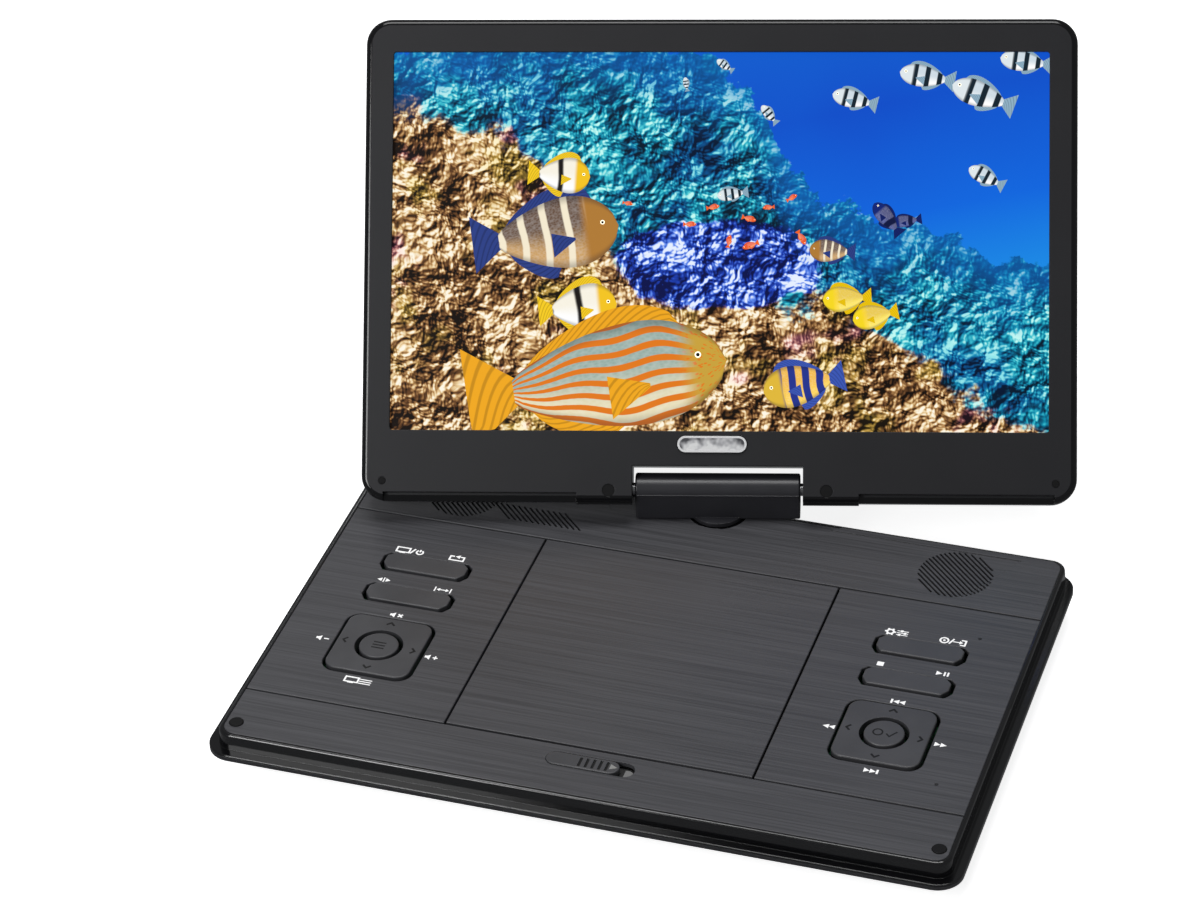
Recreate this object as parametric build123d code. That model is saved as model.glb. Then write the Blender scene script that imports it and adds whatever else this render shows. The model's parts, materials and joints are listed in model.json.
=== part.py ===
from build123d import *
import math
import os

# Portable disc player: a flat base with a disc drive under a hinged door, and a
# wide screen on a neck that swivels and tilts. Millimetres, +Z up, +Y to the back.
# The origin is the centre of the base's flat underside.

# Base outline, seen from above
PANEL_HALF = 166.4
PANEL_FRONT = -108.6
PANEL_REAR = 113.0
PANEL_CORNER = 6.0
LEDGE_SIDE = 7.0
LEDGE_FRONT = 6.9
LEDGE_REAR = 2.3
LEDGE_CORNER = 12.0
RIM_GROW = 2.0
RIM_REAR = 1.6
RIM_ROUND = 1.4
SPLIT_REAR = 67.5
SPLIT_FRONT = -76.6
SPLIT_GAP = 1.0
DOOR_HALF = 71.0

# Base levels
FLOOR = 2.0
SEAM = 15.4
LEDGE_TOP = 16.1
DECK_UNDER = 20.0
DECK_TOP = 22.0
TOP = 24.0
FOOT_DEPTH = 2.0
FOOT_RADIUS = 7.0
FOOT_POCKET = 0.4
FEET = tuple((x, y) for x in (-134, 134) for y in (-78, 96))
SCREW_PLACES = ((-146, -58), (146, -58), (-147, 66), (147, 66), (-66, -86), (66, -86), (-44, 98), (44, 98))
BOARD_TOP = 4.6
CORNER_X = 161.6
CORNER_Y = -100.9
SPEAKER_X = 120.5
SPEAKER_Y = 91.5
SPEAKER_GRILLE = 17.5
SLOT_WIDE = 1.0

# Sockets along the rear wall: centre X, width, lowest and highest Z
SOCKETS = {
    "power_inlet": (-132, 9.0, 4.6, 13.0),
    "power_switch": (-114, 11.0, 6.6, 11.0),
    "av_jack": (-96, 7.4, 5.2, 12.6),
    "phone_jack_left": (-82, 7.4, 5.2, 12.6),
    "phone_jack_right": (-68, 7.4, 5.2, 12.6),
    "usb_socket": (72, 14.4, 5.0, 12.2),
    "card_slot": (104, 26.0, 6.0, 10.4),
}

# Keys
KEY_X = 119.0
BAR_Y = (31.3, 7.1)
BAR_SIZE = (40.0, 12.0)
BAR_GAP = (1.8, 0.9)
PAD_Y = -32.0
PAD_SIZE = (40.4, 41.0)
PAD_GAP = 1.5
BUTTON_RADIUS = 9.1
BUTTON_HOLE = 11.2
HOLE_CHAMFER = 0.3
KEY_RISE = 0.9
KEY_ROCKER_Z = 18.8

WINDOW_PLACES = ((143.1, 46.6), (149.7, -59.2))

# Disc drive
DISC_Y = (SPLIT_REAR + SPLIT_FRONT) / 2
WELL_RADIUS = 62.0
WELL_FLOOR = 13.6
ROD_X = 20.0
ROD_Z = 9.0
SCREW_X = 39.0
SCREW_Z = 7.6
DOOR_PIVOT_Y = 79.2
DOOR_PIVOT_Z = 18.0
HOOK_END = -77.8
LATCH_Y = -86.5

# Neck and screen, as built: turned on the swivel and leaned back
AXIS_Y = 111.0
TILT_Z = TOP + 12.0
SWIVEL = 14.75
LEAN = 38.75
NECK_HALF = 38.9
BARREL = 7.7
BOSS = 17.5
TURNTABLE = 13.0
NECK_LOW = TOP + 0.6

# Screen housing, measured from the tilt axis: across, up, and out of the face
LID_HALF = 168.5
LID_TOP = 222.6
LID_FOOT = -6.8
FACE = 10.5
BACK = -7.5
LID_SEAM = 4.5
LID_CORNER = 12.0
NOTCH_HALF = 40.2
NOTCH_TOP = 10.5
OPENING_HALF = 155.2
OPENING_LOW = 26.8
OPENING_HIGH = 206.8
EAR_HALF = 66.5
BADGE_X = -2.6
BADGE_Y = 20.6
PLUG_X = 51.3
PLUG_Y = -1.3
LID_BUMPER_X = 158.5
LID_BUMPER_Y = 2.8


def block(x0, x1, y0, y1, z0, z1):
    return Pos((x0 + x1) / 2, (y0 + y1) / 2, (z0 + z1) / 2) * Box(x1 - x0, y1 - y0, z1 - z0)


def post(x, y, z0, z1, radius):
    return Pos(x, y, (z0 + z1) / 2) * Cylinder(radius, z1 - z0)


def rounded(x0, x1, y0, y1, radius, z):
    return Pos((x0 + x1) / 2, (y0 + y1) / 2, z) * RectangleRounded(x1 - x0, y1 - y0, radius)


def slab(x0, x1, y0, y1, z0, z1, radius):
    return extrude(rounded(x0, x1, y0, y1, radius, z0), z1 - z0)


def outline(grow, z, radius, rear=None):
    """The base's outline grown outwards from the deck panel's edge."""
    back = grow if rear is None else rear
    return rounded(-PANEL_HALF - grow, PANEL_HALF + grow, PANEL_FRONT - grow, PANEL_REAR + back, radius, z)


def rod(axis, x, y, z, length, radius):
    """A rod centred on a point, along X or Y."""
    turn = Rot(0, 90, 0) if axis == "x" else Rot(90, 0, 0)
    return Pos(x, y, z) * turn * Cylinder(radius, length)


def save(name, shape):
    shape.label = name
    export_step(shape, f"parts/{name}.step")


def group(solids):
    return Compound(children=list(solids))


def both(make):
    """A piece made once for each side of the object."""
    return [make(-1), make(1)]


def span(side, near, far):
    """Lowest and highest X of a piece between two distances from the middle, on one side."""
    return sorted((side * near, side * far))


# Base shells

def base_shell_outer(z0, z1, grow0, grow1, radius0, radius1, rear0, rear1):
    return loft([outline(grow0, z0, radius0, rear0), outline(grow1, z1, radius1, rear1)])


def bump(z0, z1, radius):
    """The round swivel housing behind the middle of the base."""
    return post(0, AXIS_Y, z0, z1, radius)


def top_cover():
    rim = base_shell_outer(LEDGE_TOP, TOP - 0.1, 2.5, RIM_GROW, 7.5, 7.3, 1.9, RIM_REAR)
    rim = fillet(rim.edges().group_by(Axis.Z)[-1], RIM_ROUND)
    ledge = extrude(outline(LEDGE_SIDE, SEAM, LEDGE_CORNER, LEDGE_REAR), LEDGE_TOP - SEAM)
    ledge = fillet(ledge.edges().group_by(Axis.Z)[-1], 0.6)
    body = rim + ledge + bump(SEAM, TOP - 0.3, BOSS)
    hollow = extrude(outline(-1.2, SEAM - 1, 5.0), DECK_UNDER - SEAM + 1)
    body -= hollow
    body -= extrude(outline(0.05, DECK_TOP, PANEL_CORNER), TOP)
    body += post(0, AXIS_Y, 10, TOP - 1.1, 14.4)
    body -= post(0, AXIS_Y, 9, TOP, 10.0)
    body -= post(0, AXIS_Y, TOP - 1.1, TOP, 14.4)
    body -= block(-DOOR_HALF - 0.5, DOOR_HALF + 0.5, SPLIT_FRONT - 0.6, SPLIT_REAR, 19, 23)
    for side in (-1, 1):
        body -= block(*span(side, 59.5, 68.5), SPLIT_REAR - 1, 84, 19, 23)
        body -= block(*span(side, 93, 145), -56, 41, 19, 23)
        body -= post(side * SPEAKER_X, SPEAKER_Y, 19, 23, 19.0)
        body -= post(side * CORNER_X, CORNER_Y, 19, 23, 2.1)
        body += door_bracket(side)
    body -= block(-24, 24, -93, -SPLIT_GAP + SPLIT_FRONT, 19, 23)
    return body


def door_bracket(side):
    """A pair of cheeks under the deck that carry one door hinge pin."""
    inner = block(*span(side, 58, 60.4), 75.5, 83, 14, DECK_UNDER)
    outer = block(*span(side, 67.6, 70), 75.5, 83, 14, DECK_UNDER)
    bore = rod("x", side * 64, DOOR_PIVOT_Y, DOOR_PIVOT_Z, 20, 1.0)
    return inner + outer - bore


def bottom_cover():
    under = loft([outline(-15, 0, 12, -6), outline(-6, 3, 14, -1)])
    lower = loft([outline(-6, 3, 14, -1), outline(LEDGE_SIDE, 13.2, LEDGE_CORNER, LEDGE_REAR)])
    edge = extrude(outline(LEDGE_SIDE, 13.2, LEDGE_CORNER, LEDGE_REAR), SEAM - 0.25 - 13.2)
    body = under + lower + edge + bump(3, SEAM - 0.25, BOSS)
    hollow = loft([outline(-15 - 2, FLOOR, 10, -8), outline(-6 - 2.2, 5, 12, -3.2)])
    hollow += loft([outline(-6 - 2.2, 5, 12, -3.2), outline(4.4, 13.2, 9, 0.3)])
    hollow += extrude(outline(4.4, 13.2, 9, 0.3), 4)
    body -= hollow
    body -= post(0, AXIS_Y, 5, 16, 15.2)
    for x, wide, low, high in SOCKETS.values():
        body -= block(x - wide / 2 - 0.3, x + wide / 2 + 0.3, 104, 120, low - 0.3, high + 0.3)
    for x, y in FEET:
        body -= post(x, y, -1, FOOT_POCKET, FOOT_RADIUS + 0.3)
    for x in range(-60, 61, 12):
        body -= slab(x - 1.5, x + 1.5, -60, -20, -1, 3, 1.4)
    for x, y in SCREW_PLACES:
        body += post(x, y, 1, SEAM - 1.5, 4.2)
        body -= post(x, y, -1, 3.4, 3.3)
        body -= post(x, y, 3, 20, 1.7)
    return body


def socket(name):
    """A socket body that stands on the board's rear edge with its mouth in the rear wall."""
    x, wide, low, high = SOCKETS[name]
    mid = (low + high) / 2
    body = block(x - wide / 2, x + wide / 2, 98, 112.6, low, high)
    if name == "power_inlet":
        return body - rod("y", x, 108.6, mid, 9, 2.8)
    if name == "usb_socket":
        mouth = block(x - 6.2, x + 6.2, 101, 113, mid - 2.5, mid + 2.5)
        return body - mouth + block(x - 5.4, x + 5.4, 100.5, 111, mid + 0.3, mid + 1.9)
    if name == "card_slot":
        return body - block(x - 12.2, x + 12.2, 99.5, 113, low + 0.8, high - 0.8)
    return body - rod("y", x, 106.6, mid, 13, 1.8)


def power_switch_body():
    x, wide, low, high = SOCKETS["power_switch"]
    body = block(x - wide / 2, x + wide / 2, 98, 109.4, low - 1.8, high + 1.4)
    return body - block(x - 4.6, x + 4.6, 104, 111, low + 0.4, high - 0.4)


def power_switch_knob():
    x, wide, low, high = SOCKETS["power_switch"]
    stem = block(x - 4.2, x - 0.8, 105, 111.2, low + 0.8, high - 0.8)
    return stem + block(x - 4.0, x - 1.0, 111.2, 113.6, low + 0.9, high - 0.9)


# Deck plates

def panel():
    return extrude(outline(0, DECK_TOP, PANEL_CORNER), TOP - DECK_TOP)


def plate(x0, x1, y0, y1):
    piece = panel() & block(x0, x1, y0, y1, DECK_TOP, TOP)
    return chamfer(piece.edges().group_by(Axis.Z)[-1], 0.25)


def mirrored(*points):
    """A face with these corners on the right and their mirror images on the left."""
    left = [(-x, y) for x, y in reversed(points)]
    return make_face(Polyline(*left, *points, close=True))


def rear_deck_plate():
    piece = plate(-200, 200, SPLIT_REAR + SPLIT_GAP / 2, 200)
    piece -= Pos(0, 0, TOP - 0.5) * extrude(mirrored((124, 73.8), (131, 79.5), (147.5, 109.5)), 1)
    stage = mirrored((46, 97.1), (49.8, 98.7), (55.4, 109.1), (62, 114))
    piece -= Pos(0, 0, TOP - 0.9) * extrude(stage, 1)
    piece -= post(0, AXIS_Y, DECK_TOP - 1, TOP + 1, 14.4)
    for side in (-1, 1):
        for i in range(-8, 9):
            off = 2.06 * i
            slot = Box(2 * math.sqrt(SPEAKER_GRILLE ** 2 - off ** 2), SLOT_WIDE, 6)
            piece -= Pos(side * SPEAKER_X, SPEAKER_Y, TOP) * Rot(0, 0, -45) * Pos(0, off, 0) * slot
    for i in range(13):
        piece -= Pos(-99 + 2.92 * i, 84, TOP) * Rot(0, 0, -45) * Box(16, SLOT_WIDE, 6)
    return piece


def bar_outline(gap_x, gap_y):
    wide, deep = BAR_SIZE
    cut = 2.8
    x, y = wide / 2 + gap_x, deep / 2 + gap_y
    points = ((-x, -y + cut + 1.2), (-x + cut, -y), (x - cut, -y), (x, -y + cut + 1.2),
              (x, y - cut), (x - cut, y), (-x + cut, y), (-x, y - cut))
    face = make_face(Polyline(*points, close=True))
    return fillet(face.vertices(), 1.4)


def pad_outline(grow):
    return RectangleRounded(PAD_SIZE[0] + 2 * grow, PAD_SIZE[1] + 2 * grow, 6.0 + grow)


def key_hole(face):
    """A tool that cuts a hole of this outline, a little wider at the deck's surface."""
    tool = extrude(face, TOP - DECK_TOP + 1)
    flare = extrude(face, HOLE_CHAMFER, taper=-45)
    return tool + Pos(0, 0, TOP - DECK_TOP + 1 - HOLE_CHAMFER) * flare


def key_plate(side):
    x0, x1 = span(side, DOOR_HALF + SPLIT_GAP, 200)
    piece = plate(x0, x1, SPLIT_FRONT + SPLIT_GAP / 2, SPLIT_REAR - SPLIT_GAP / 2)
    for y in BAR_Y:
        piece -= Pos(side * KEY_X, y, DECK_TOP - 1) * key_hole(bar_outline(*BAR_GAP))
    piece -= Pos(side * KEY_X, PAD_Y, DECK_TOP - 1) * key_hole(pad_outline(PAD_GAP))
    if side > 0:
        for x, y in WINDOW_PLACES:
            piece -= post(x, y, DECK_TOP - 1, TOP + 1, 0.85)
    return piece


def front_deck_plate():
    piece = plate(-200, 200, -200, SPLIT_FRONT - SPLIT_GAP / 2)
    piece -= extrude(Pos(0, LATCH_Y, DECK_TOP - 1) * SlotOverall(41, 9.6), 4)
    for side in (-1, 1):
        piece -= post(side * CORNER_X, CORNER_Y, DECK_TOP - 1, TOP + 1, 3.35)
    return piece


# Disc door and its latch

def disc_door():
    y0 = SPLIT_FRONT + 0.9
    y1 = SPLIT_REAR - SPLIT_GAP / 2
    skin = block(-DOOR_HALF, DOOR_HALF, y0, y1, DECK_TOP, TOP)
    skin = chamfer(skin.edges().group_by(Axis.Z)[-1], 0.25)
    skin = chamfer(skin.faces().sort_by(Axis.Y)[-1].edges().sort_by(Axis.Z)[0], 1.0)
    rib = slab(-66, 66, y0 + 2, 62, 20.6, DECK_TOP, 8) - slab(-64.4, 64.4, y0 + 3.6, 60.4, 20, 23, 7)
    door = skin + rib
    tongue = block(-9, 9, y0 - 1.6, y0 + 3, 17.2, 18.8) + block(-9, 9, y0 + 1.4, y0 + 3, 17.2, DECK_TOP)
    door += tongue
    for side in (-1, 1):
        door += door_arm(side)
    return door


def door_arm(side):
    """A goose-neck arm from under the door, round the deck plate's edge, to the hinge pin."""
    y, z = DOOR_PIVOT_Y, DOOR_PIVOT_Z
    x0, x1 = span(side, 61, 67)
    arm = block(x0, x1, y - 1.8, y + 1.8, z - 12.2, z)
    arm += block(x0, x1, y - 18, y + 1.8, z - 12.2, z - 9.6)
    arm += block(x0, x1, y - 18, y - 14.8, z - 12.2, DECK_TOP)
    arm += rod("x", side * 64, y, z, 6, 2.8)
    return arm - rod("x", side * 64, y, z, 20, 1.05)


def door_hinge_pins():
    return group(both(lambda side: rod("x", side * 64, DOOR_PIVOT_Y, DOOR_PIVOT_Z, 12, 1.0)))


def latch_slider():
    """The release knob with five grip grooves, and the hook that holds the door's tongue."""
    knob = extrude(Pos(-3.5, LATCH_Y, DECK_TOP - 0.6) * SlotOverall(33.8, 8.6), 3.0)
    knob = fillet(knob.edges().group_by(Axis.Z)[-1], 0.5)
    for i in range(5):
        knob -= block(-5.2 + 3.1 * i, -4.0 + 3.1 * i, -89.6, -83.4, TOP - 0.1, TOP + 2)
    stem = block(-12, 4, -89, -84, 18.2, DECK_TOP - 0.6)
    hooks = block(-16, -11.4, -84, HOOK_END, 18.9, 20.0) + block(-2, 2.6, -84, HOOK_END, 18.9, 20.0)
    bridge = block(-16, 4, -85, -82.6, 18.2, 20.0)
    return knob + stem + hooks + bridge


def latch_bed():
    """The floor under the slider, fixed below the deck, raised where the slot shows it."""
    bed = block(-27, 27, -94.5, -81.9, 15.2, 16.4) + block(11.6, 23.6, -92.4, -81.9, 16.4, 21.0)
    for side in (-1, 1):
        bed += block(*span(side, 24.4, 27), -94.5, -81.9, 16.4, DECK_UNDER)
    return bed


# Keys

def bar_key(side, y):
    """A two-way key that rocks on the round rib across its underside."""
    cap = extrude(bar_outline(0, 0), TOP + KEY_RISE - 19.6)
    cap = fillet(cap.edges().group_by(Axis.Z)[-1], 0.6)
    key = Pos(side * KEY_X, y, 19.6) * cap
    key += block(side * KEY_X - 0.8, side * KEY_X + 0.8, y - 4.5, y + 4.5, KEY_ROCKER_Z, 19.6)
    key += rod("y", side * KEY_X, y, KEY_ROCKER_Z, 9, 0.8)
    for x in (-14, 14):
        key += post(side * KEY_X + x, y, 18.6, 19.6, 1.6)
    return key


def pad_ring(side):
    cap = extrude(pad_outline(0), TOP + KEY_RISE - 20.2)
    cap = fillet(cap.edges().group_by(Axis.Z)[-1], 0.7)
    cap -= post(0, 0, -1, 8, BUTTON_HOLE)
    ring = Pos(side * KEY_X, PAD_Y, 20.2) * cap
    for x, y in ((15, 0), (-15, 0), (0, 15), (0, -15)):
        ring += post(side * KEY_X + x, PAD_Y + y, 18.9, 20.2, 1.6)
    return ring


def pad_button(side):
    cap = post(0, 0, 0, TOP + KEY_RISE + 0.1 - 18.7, BUTTON_RADIUS)
    cap = fillet(cap.edges().group_by(Axis.Z)[-1], 0.6)
    return Pos(side * KEY_X, PAD_Y, 18.7) * cap


def pad_pivot(side):
    """The rubber ring of the key mat that the four-way pad rocks on."""
    return post(side * KEY_X, PAD_Y, 18.4, 19.6, 12.6) - post(side * KEY_X, PAD_Y, 18, 20, 10.9)


def key_board(side):
    x0, x1 = span(side, 94, 144)
    board = block(x0, x1, -55, 40, 14.2, 15.6)
    for y in BAR_Y:
        saddle = block(side * KEY_X - 2, side * KEY_X + 2, y - 3.5, y + 3.5, 15.6, KEY_ROCKER_Z - 0.1)
        board += saddle - rod("y", side * KEY_X, y, KEY_ROCKER_Z, 9, 0.85)
        for x in (-14, 14):
            board += block(side * KEY_X + x - 3, side * KEY_X + x + 3, y - 3, y + 3, 15.6, 17.8)
    for x, y in ((15, 0), (-15, 0), (0, 15), (0, -15), (0, 0)):
        cx, cy = side * KEY_X + x, PAD_Y + y
        board += block(cx - 3, cx + 3, cy - 3, cy + 3, 15.6, 17.8)
    return board


# Disc drive

def disc_tray():
    """The well that the disc lies in, with slots for the door's arms and the pickup."""
    tray = block(-70.8, 70.8, SPLIT_FRONT + 0.6, 66.4, WELL_FLOOR - 1.6, DECK_TOP - 1.8)
    tray -= post(0, DISC_Y, WELL_FLOOR, 25, WELL_RADIUS)
    tray -= post(0, DISC_Y, 10, 25, 16)
    tray -= slab(-13, 13, DISC_Y - 60.8, DISC_Y - 5, 10, 25, 6)
    for side in (-1, 1):
        tray -= block(*span(side, 59.5, 72), 55, 68, 10, 25)
    tray -= block(-17.5, 17.5, -78, -72.2, 16.6, 25)
    return tray


def drive_chassis():
    """Pressed steel plate that carries the motor, the rods and the feed motor."""
    deck = slab(-34, 34, DISC_Y - 66, DISC_Y + 26, 5.4, 6.6, 4)
    deck -= slab(-15, 15, DISC_Y - 58, DISC_Y - 22, 5, 7, 3)
    for x in (-ROD_X, ROD_X):
        for y in (DISC_Y - 63, DISC_Y - 12):
            deck += block(x - 2.4, x + 2.4, y - 1.4, y + 1.4, 6.6, 9.7) - rod("y", x, y, ROD_Z, 8, 1.5)
    deck += block(30, SCREW_X + 4.4, DISC_Y - 12.2, DISC_Y - 11.2, 5.4, 11.6)
    return deck - rod("y", SCREW_X, DISC_Y - 11.7, SCREW_Z, 4, 1.6)


def guide_rods():
    return group(both(lambda side: rod("y", side * ROD_X, DISC_Y - 37.5, ROD_Z, 54, 1.5)))


def pickup_sled():
    """The carriage, with the follower that reaches out to the lead screw."""
    body = block(-23, 23, DISC_Y - 27, DISC_Y - 17, 7.4, 11.0)
    for side in (-1, 1):
        body -= rod("y", side * ROD_X, DISC_Y - 22, ROD_Z, 40, 1.55)
    body += block(-9, 9, DISC_Y - 26, DISC_Y - 19.5, 11.0, 13.6)
    return body + block(22, SCREW_X - 1.8, DISC_Y - 24, DISC_Y - 20, 7.4, 8.8)


def pickup_lens():
    return post(0, DISC_Y - 23, 13.6, 14.8, 3.2)


def spindle_motor():
    return post(0, DISC_Y, 6.6, 12.6, 13.0) - post(0, DISC_Y, 6, 13, 1.54)


def spindle_hub():
    hub = post(0, DISC_Y, 7.0, 13.2, 1.5) + post(0, DISC_Y, 13.0, 15.6, 14.0)
    nose = post(0, DISC_Y, 15.6, 19.4, 7.4)
    nose = chamfer(nose.edges().group_by(Axis.Z)[-1], 1.4)
    grips = [Pos(0, DISC_Y, 17.0) * Rot(0, 0, 120 * i) * Pos(6.9, 0, 0) * Sphere(0.9) for i in range(3)]
    return hub + nose + grips


def feed_motor():
    return rod("y", SCREW_X, DISC_Y - 3, SCREW_Z, 16, 4.2)


def lead_screw():
    return rod("y", SCREW_X, DISC_Y - 37.2, SCREW_Z, 51.8, 1.2)


def damper_mounts():
    spots = ((-30, DISC_Y - 61), (30, DISC_Y - 61), (-30, DISC_Y + 22), (30, DISC_Y + 22))
    return group(post(x, y, FLOOR, 5.4, 3.5) for x, y in spots)


# Electronics

def main_board():
    board = block(-138, 136, 58, 105, 3.2, BOARD_TOP) - post(0, AXIS_Y, 2, 6, 16.5)
    for x, y in SCREW_PLACES:
        board -= post(x, y, 2, 6, 5.0)
    for side in (-1, 1):
        board -= post(side * SPEAKER_X, SPEAKER_Y, 2, 6, 0.5)
        board -= block(*span(side, 60, 68), 56, 84, 2, 6)
    chips = ((-20, 80, 24, 24, 2.0), (30, 76, 14, 20, 1.4), (-100, 70, 18, 12, 3.0), (96, 68, 12, 12, 4.0))
    for x, y, wide, deep, high in chips:
        board += block(x - wide / 2, x + wide / 2, y - deep / 2, y + deep / 2, BOARD_TOP, BOARD_TOP + high)
    return board


def battery_pack():
    return slab(76, 138, -66, 40, 2.2, 12.8, 3)


def speaker(side):
    unit = post(side * SPEAKER_X, SPEAKER_Y, 14.2, 21.6, 18.4)
    unit += post(side * SPEAKER_X, SPEAKER_Y, 13.3, 14.2, 11)
    cone = Pos(side * SPEAKER_X, SPEAKER_Y, 20.1) * Cone(9, 16.5, 3.0)
    return unit - cone


# Small fixed pieces of the base

def rubber_feet():
    return group(post(x, y, -FOOT_DEPTH, FOOT_POCKET, FOOT_RADIUS) for x, y in FEET)


def case_screws():
    screws = []
    for x, y in SCREW_PLACES:
        head = post(x, y, 1.2, 3.4, 2.8) - Pos(x, y, 1.2) * (Box(3.4, 0.7, 1.6) + Box(0.7, 3.4, 1.6))
        screws.append(head + post(x, y, 3.4, 12, 1.6))
    return group(screws)


def corner_bumpers():
    def bumper(side):
        top = post(side * CORNER_X, CORNER_Y, DECK_TOP, TOP + 0.5, 3.3)
        top = fillet(top.edges().group_by(Axis.Z)[-1], 0.5)
        return top + post(side * CORNER_X, CORNER_Y, DECK_UNDER, DECK_TOP, 2.0)
    return group(both(bumper))


def status_windows():
    return group(post(x, y, DECK_TOP, TOP + 0.05, 0.8) for x, y in WINDOW_PLACES)


# Swivel and neck, built straight and then turned on the swivel axis

def turned(shape):
    return Pos(0, AXIS_Y, 0) * Rot(0, 0, SWIVEL) * Pos(0, -AXIS_Y, 0) * shape


def swivel_bush():
    return post(0, AXIS_Y, 10, TOP - 1.7, 9.98) - post(0, AXIS_Y, 9, TOP, 7.05)


def swivel_shaft():
    shaft = post(0, AXIS_Y, 7.2, TOP + 2.4, 7.0) + post(0, AXIS_Y, 7.2, 9.6, 10.5)
    shaft += post(0, AXIS_Y, TOP + 2.4, TOP + 4.5, 5.3)
    return shaft - post(0, AXIS_Y, 7, TOP + 5, 4.5)


def neck_column(half, thick, low, high):
    """The upright slab of the neck under its round barrel."""
    body = block(-half, half, AXIS_Y - thick, AXIS_Y + thick, low, TILT_Z)
    body += rod("x", 0, AXIS_Y, TILT_Z, 2 * half, high)
    return body


def neck_shell():
    body = neck_column(NECK_HALF, BARREL, NECK_LOW, BARREL)
    body = fillet(body.edges().filter_by(Axis.Z), 1.0)
    body -= block(-NECK_HALF + 2, NECK_HALF - 2, AXIS_Y - 5.6, AXIS_Y + 9, NECK_LOW + 2, TILT_Z + 3.6)
    body += post(0, AXIS_Y, TOP - 0.75, NECK_LOW + 0.6, TURNTABLE)
    body -= post(0, AXIS_Y, TOP - 1, NECK_LOW + 3, 7.0)
    body -= rod("x", 0, AXIS_Y, TILT_Z, 100, 3.05)
    front = AXIS_Y - BARREL
    ridge = block(-NECK_HALF + 0.6, NECK_HALF - 0.6, front - 0.15, front + 1, TILT_Z + 0.9, TILT_Z + 1.7)
    return body + ridge


def neck_rear_cover():
    half = NECK_HALF - 2.1
    cover = block(-half, half, AXIS_Y + 5.6, AXIS_Y + BARREL, NECK_LOW + 2.1, TILT_Z + 3.5)
    return cover & neck_column(NECK_HALF, BARREL, NECK_LOW, BARREL - 0.02)


def tilt_shaft():
    return rod("x", 0, AXIS_Y, TILT_Z, 2 * 56, 3.0)


def hinge_core():
    """Steel bridge inside the neck that ties the tilt shaft to the swivel shaft."""
    core = block(-33, 33, AXIS_Y - 5.4, AXIS_Y + 5.4, TOP + 4.5, TOP + 6.5)
    for side in (-1, 1):
        core += block(*span(side, 28, 31), AXIS_Y - 5.0, AXIS_Y + 5.0, TOP + 6.5, TILT_Z + 3.6)
    core -= rod("x", 0, AXIS_Y, TILT_Z, 100, 3.0)
    return core - post(0, AXIS_Y, TOP + 4, TOP + 7, 4.5)


# Screen housing, built flat and then stood on the tilt axis.
# Here X runs across, Y up the housing and Z out of its face.

def leaned(shape):
    place = Plane(origin=(0, AXIS_Y, TILT_Z), x_dir=(1, 0, 0),
                  z_dir=(0, -math.cos(math.radians(LEAN)), math.sin(math.radians(LEAN))))
    return turned(place.location * shape)


def lid_slab(inset, z0, z1):
    radius = LID_CORNER - inset
    return slab(-LID_HALF + inset, LID_HALF - inset, LID_FOOT + inset, LID_TOP - inset, z0, z1, radius)


def lid_notch(grow):
    return block(-NOTCH_HALF - grow, NOTCH_HALF + grow, -20, NOTCH_TOP + grow, -20, 20)


def lid_bezel():
    body = lid_slab(0, LID_SEAM, FACE)
    body = fillet(body.edges().group_by(Axis.Z)[-1], 3.0)
    body -= lid_slab(2.2, LID_SEAM - 1, FACE - 2.0) - lid_notch(2.0)
    for side in (-1, 1):
        x0, x1 = span(side, EAR_HALF, 158)
        step = block(x0, x1, -20, -2.5, FACE - 3.2, FACE + 1)
        body -= step
        body += block(x0, x1, -5.6, -0.5, FACE - 4.7, FACE - 3.2)
        body += block(x0, x1, -2.5, -0.5, FACE - 3.2, FACE - 1.5)
        body += block(*span(side, NOTCH_HALF, EAR_HALF), -7.8, -3, LID_SEAM, FACE - 3.4)
        body -= post(side * PLUG_X, PLUG_Y, FACE - 1.4, FACE + 1, 2.95)
        body -= post(side * LID_BUMPER_X, LID_BUMPER_Y, FACE - 0.9, FACE + 1, 1.75)
    body -= lid_notch(0)
    body -= slab(-OPENING_HALF, OPENING_HALF, OPENING_LOW, OPENING_HIGH, 0, 20, 1.5)
    return body - badge_recess()


def badge_recess():
    return extrude(Pos(BADGE_X, BADGE_Y, FACE - 0.6) * SlotOverall(33.0, 8.1), 3)


def badge():
    piece = extrude(Pos(BADGE_X, BADGE_Y, FACE - 0.6) * SlotOverall(32.6, 7.7), 1.5)
    return fillet(piece.edges().group_by(Axis.Z)[-1], 0.4)


def lid_back_cover():
    body = lid_slab(0.15, BACK, LID_SEAM - 0.25)
    body = fillet(body.edges().group_by(Axis.Z)[0], 3.6)
    body -= lid_slab(2.2, BACK + 2.0, 20) - lid_notch(2.0)
    body -= lid_notch(0)
    return body - rod("x", 0, 0, 0, 2 * 44, 3.5)


def lcd_panel():
    return block(-160.5, 160.5, 22.5, 211.5, 2.4, 7.6)


def screen_glass():
    return block(-158.5, 158.5, 24.5, 209.5, 7.7, 8.4)


def driver_board():
    board = block(-70, 60, 30, 66, -3.4, -2.0)
    board += block(-30, -12, 40, 58, -2.0, -0.6) + block(10, 34, 42, 52, -2.0, 1.2)
    return board


def tilt_bracket(side):
    """The friction barrel that grips the shaft, with its leaf screwed to the back cover."""
    x0, x1 = span(side, 43, 55)
    piece = rod("x", side * 49, 0, 0, 12, 4.4) + block(x0, x1, 0, 21, -4.4, -2.6)
    return piece - rod("x", side * 49, 0, 0, 40, 3.05)


def screw_plugs():
    return group(both(lambda side: post(side * PLUG_X, PLUG_Y, FACE - 1.4, FACE - 0.15, 2.9)))


def lid_bumpers():
    return group(both(lambda side: post(side * LID_BUMPER_X, LID_BUMPER_Y, FACE - 0.9, FACE + 0.25, 1.7)))


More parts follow.
